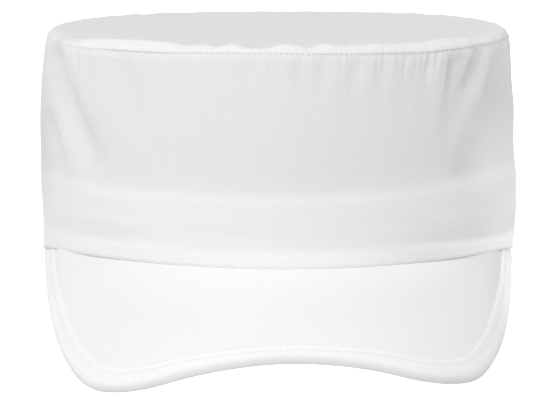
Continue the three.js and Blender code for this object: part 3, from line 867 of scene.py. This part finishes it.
def seam_stitches(material):
    angles = np.linspace(-np.pi, np.pi, SEAM_SAMPLES)
    seam = wall_points(angles, SEAM_HEIGHT, SEAM_STITCH_INSET) + (0, 0, SEAM_STITCH_LIFT)
    out = np.stack([np.sin(angles), -np.cos(angles), 0 * angles], -1)
    return add_stitches("top_seam_stitches", [(seam, out)], material, **SEAM_STITCH)


def peak_stitches(material):
    left, right = row_end(PEAK_STITCH_INSET, -1), row_end(PEAK_STITCH_INSET, 1)
    edge_angle = np.linspace(left, right, HEM_SAMPLES)
    inset = PEAK_STITCH_INSET * hem_share(edge_angle)
    angle, reach = inset_place(edge_angle, inset)
    bend = hem_bend(angle, inset)
    shown = reach > PEAK_STITCH_END
    lines = []
    for face, side in (("above", 1), ("below", -1)):
        away = curve(HEM, "inset", face, PEAK_STITCH_INSET) + bend * side
        points, normals = peak_face(angle, reach, away, side)
        lines.append((points[shown], normals[shown]))
    return add_stitches("peak_stitches", lines, material, **PEAK_STITCH)


def grey(level):
    """A grey colour, opaque."""
    return (level, level, level, 1)


def new_material(name):
    """A material and its shader."""
    material = bpy.data.materials.new(name)
    material.use_nodes = True
    return material, material.node_tree.nodes["Principled BSDF"]


def cotton(name, shade, roughness, thread=0.55, relief=0.05, long=5, ribs=0.5, contrast=0.045):
    """White cotton in a plain weave: fine threads both ways, some thicker, and slightly uneven.
    long is a thread's length between crossings over its width, ribs the share of the level threads."""
    material, shader = new_material(name)
    tree = material.node_tree
    place = tree.nodes.new("ShaderNodeUVMap")
    place.uv_map = "weave"

    def noise(across, down, detail):
        stretch = tree.nodes.new("ShaderNodeMapping")
        stretch.inputs["Scale"].default_value = (across, down, 1)
        tree.links.new(place.outputs["UV"], stretch.inputs["Vector"])
        made = tree.nodes.new("ShaderNodeTexNoise")
        made.noise_dimensions = "2D"
        made.inputs["Scale"].default_value = 1
        made.inputs["Detail"].default_value = detail
        tree.links.new(stretch.outputs["Vector"], made.inputs["Vector"])
        return made.outputs["Fac"]

    def mixed(a, b, way="ADD"):
        node = tree.nodes.new("ShaderNodeMath")
        node.operation = way
        tree.links.new(a, node.inputs[0])
        if isinstance(b, float):
            node.inputs[1].default_value = b
        else:
            tree.links.new(b, node.inputs[1])
        return node.outputs[0]

    def spread(value, low, high):
        node = tree.nodes.new("ShaderNodeMapRange")
        node.inputs["From Min"].default_value, node.inputs["From Max"].default_value = NOISE_RANGE
        node.inputs["To Min"].default_value = low
        node.inputs["To Max"].default_value = high
        tree.links.new(value, node.inputs["Value"])
        return node.outputs["Result"]

    fine = 1 / thread
    warp = noise(fine, fine / long, 1)
    weft = noise(fine / long, fine, 1)
    slubs = noise(*SLUBS)
    patches = noise(*PATCHES)
    threads = mixed(mixed(warp, 1 - ribs, "MULTIPLY"), mixed(weft, ribs, "MULTIPLY"))
    uneven = mixed(mixed(slubs, patches), 0.5, "MULTIPLY")
    tone = mixed(spread(threads, 1 - contrast, 1.0), spread(uneven, PATCH_SHADE, 1.0), "MULTIPLY")
    # Painted light and shade, with the lighter tone over more cloth behind, come from a second UV map
    # and multiply the colour.
    layers = tree.nodes.new("ShaderNodeUVMap")
    layers.uv_map = "layers"
    parts = tree.nodes.new("ShaderNodeSeparateXYZ")
    tree.links.new(layers.outputs["UV"], parts.inputs["Vector"])
    tone = mixed(tone, mixed(parts.outputs["X"], 1.0), "MULTIPLY")
    colour = tree.nodes.new("ShaderNodeMix")
    colour.data_type = "RGBA"
    colour.blend_type = "MULTIPLY"
    colour.inputs["Factor"].default_value = 1
    colour.inputs[MIX_INPUTS[0]].default_value = grey(shade)
    tree.links.new(tone, colour.inputs[MIX_INPUTS[1]])
    tree.links.new(colour.outputs[MIX_RESULT], shader.inputs["Base Color"])
    rough = spread(threads, roughness - ROUGHNESS_SPREAD, roughness + ROUGHNESS_SPREAD)
    tree.links.new(rough, shader.inputs["Roughness"])
    bump = tree.nodes.new("ShaderNodeBump")
    bump.inputs["Strength"].default_value = BUMP_STRENGTH
    bump.inputs["Distance"].default_value = relief / MILLIMETRES
    tree.links.new(mixed(threads, mixed(slubs, SLUB_RELIEF, "MULTIPLY")), bump.inputs["Height"])
    tree.links.new(bump.outputs["Normal"], shader.inputs["Normal"])
    shader.inputs["Specular IOR Level"].default_value = COTTON_GLOSS
    shader.inputs["Sheen Weight"].default_value = COTTON_SHEEN
    shader.inputs["Sheen Roughness"].default_value = SHEEN_ROUGHNESS
    return material


def sewing_thread(name):
    """Smooth white thread with a fine grain."""
    material, shader = new_material(name)
    tree = material.node_tree
    place = tree.nodes.new("ShaderNodeTexCoord")
    grain = tree.nodes.new("ShaderNodeTexNoise")
    grain.inputs["Scale"].default_value = THREAD_GRAIN
    tree.links.new(place.outputs["Object"], grain.inputs["Vector"])
    tone = tree.nodes.new("ShaderNodeMapRange")
    tone.inputs["To Min"].default_value, tone.inputs["To Max"].default_value = THREAD_ROUGHNESS
    tree.links.new(grain.outputs["Fac"], tone.inputs["Value"])
    tree.links.new(tone.outputs["Result"], shader.inputs["Roughness"])
    bump = tree.nodes.new("ShaderNodeBump")
    bump.inputs["Distance"].default_value = THREAD_RELIEF / MILLIMETRES
    tree.links.new(grain.outputs["Fac"], bump.inputs["Height"])
    tree.links.new(bump.outputs["Normal"], shader.inputs["Normal"])
    shader.inputs["Base Color"].default_value = grey(THREAD_SHADE)
    return material


def build_cap():
    # One white cotton for every piece; its shades differ as painted light and shade, lighter on the peak
    # and darker on the top panel.
    crown = cotton(
        "crown_cotton", 0.815, 0.88, thread=0.36, relief=0.08, long=1.8, ribs=0.75, contrast=0.12
    )
    top = cotton("top_cotton", 0.78, 0.88, thread=0.45, relief=0.06, long=2, contrast=0.08)
    band = cotton("band_cotton", 0.8, 0.92, thread=0.7)
    cover = cotton("peak_cotton", 0.85, 0.85)
    angles = ring_angles(*WALL_COLUMNS)

    wall = wall_piece(angles, crown)
    panel = top_piece(angles, top)
    sweat = sweatband_piece(ring_angles(*BAND_COLUMNS), band)
    peak = peak_piece(cover)
    top_stitches = seam_stitches(sewing_thread("crown_thread"))
    hem_stitches = peak_stitches(sewing_thread("peak_thread"))

    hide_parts("crown_wall")
    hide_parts("top_panel")
    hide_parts("sweatband")
    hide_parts("peak")


def stage_material(name):
    """Matt white, with its shader."""
    material, shader = new_material(name)
    shader.inputs["Base Color"].default_value = grey(STAGE_WHITE)
    shader.inputs["Roughness"].default_value = STAGE_ROUGHNESS
    return material, shader


def build_stage():
    bpy.ops.mesh.primitive_plane_add(size=FLOOR_SIZE, location=(0, 0, FLOOR_HEIGHT))
    floor = bpy.context.object
    floor.name = "floor"
    material, shader = stage_material("pale_floor")
    shader.inputs["Specular IOR Level"].default_value = FLOOR_GLOSS
    shader.inputs["Emission Color"].default_value = grey(1)
    shader.inputs["Emission Strength"].default_value = FLOOR_GLOW
    floor.data.materials.append(material)
    floor.visible_diffuse = False

    # The white table top close to the cap throws light back on it, without showing itself.
    bpy.ops.mesh.primitive_circle_add(
        vertices=TABLE_CORNERS, radius=TABLE_RADIUS, fill_type="NGON", location=(0, 0, TABLE_HEIGHT)
    )
    table_top = bpy.context.object
    table_top.name = "table_top"
    table_top.data.materials.append(stage_material("white_table")[0])
    table_top.visible_camera = False
    table_top.visible_shadow = False

    world = bpy.data.worlds.new("studio")
    bpy.context.scene.world = world
    world.use_nodes = True
    background = world.node_tree.nodes["Background"]
    background.inputs["Color"].default_value = grey(1)
    background.inputs["Strength"].default_value = WORLD_LIGHT

    for name, azimuth, elevation, power in LIGHTS:
        add_light(name, math.radians(azimuth), math.radians(elevation), power)
    bpy.context.scene.view_settings.view_transform = "Standard"


def add_light(name, azimuth, elevation, power):
    light = bpy.data.lights.new(name, "AREA")
    light.shape = "DISK"
    light.size = LIGHT_SIZE
    light.energy = power
    lamp = bpy.data.objects.new(name, light)
    bpy.context.scene.collection.objects.link(lamp)
    level = LIGHT_DISTANCE * math.cos(elevation)
    height = LIGHT_DISTANCE * math.sin(elevation)
    lamp.location = (level * math.sin(azimuth), -level * math.cos(azimuth), height)
    lamp.rotation_mode = "QUATERNION"
    lamp.rotation_quaternion = (LIGHT_AIM - lamp.location).to_track_quat("-Z", "Y")


def build_camera():
    tilt = math.radians(CAMERA_ELEVATION)
    look = Vector((0, math.cos(tilt), -math.sin(tilt)))
    up = Vector((0, math.sin(tilt), math.cos(tilt)))
    turn = REST_TURN.to_matrix()
    axes = Matrix([turn @ look.cross(up), turn @ up, turn @ -look]).transposed()
    place = turn @ (CAMERA_TARGET - look * CAMERA_DISTANCE) + REST_MOVE
    data = bpy.data.cameras.new("camera")
    data.sensor_width = SENSOR
    data.sensor_fit = "HORIZONTAL"
    data.lens = SENSOR * CAMERA_DISTANCE / PICTURE_WIDTH
    data.clip_end = CAMERA_FAR
    camera = bpy.data.objects.new("camera", data)
    bpy.context.scene.collection.objects.link(camera)
    camera.matrix_world = Matrix.Translation(place / MILLIMETRES) @ axes.to_4x4()
    bpy.context.scene.camera = camera


build_cap()
build_stage()
build_camera()

bpy.context.view_layer.update()
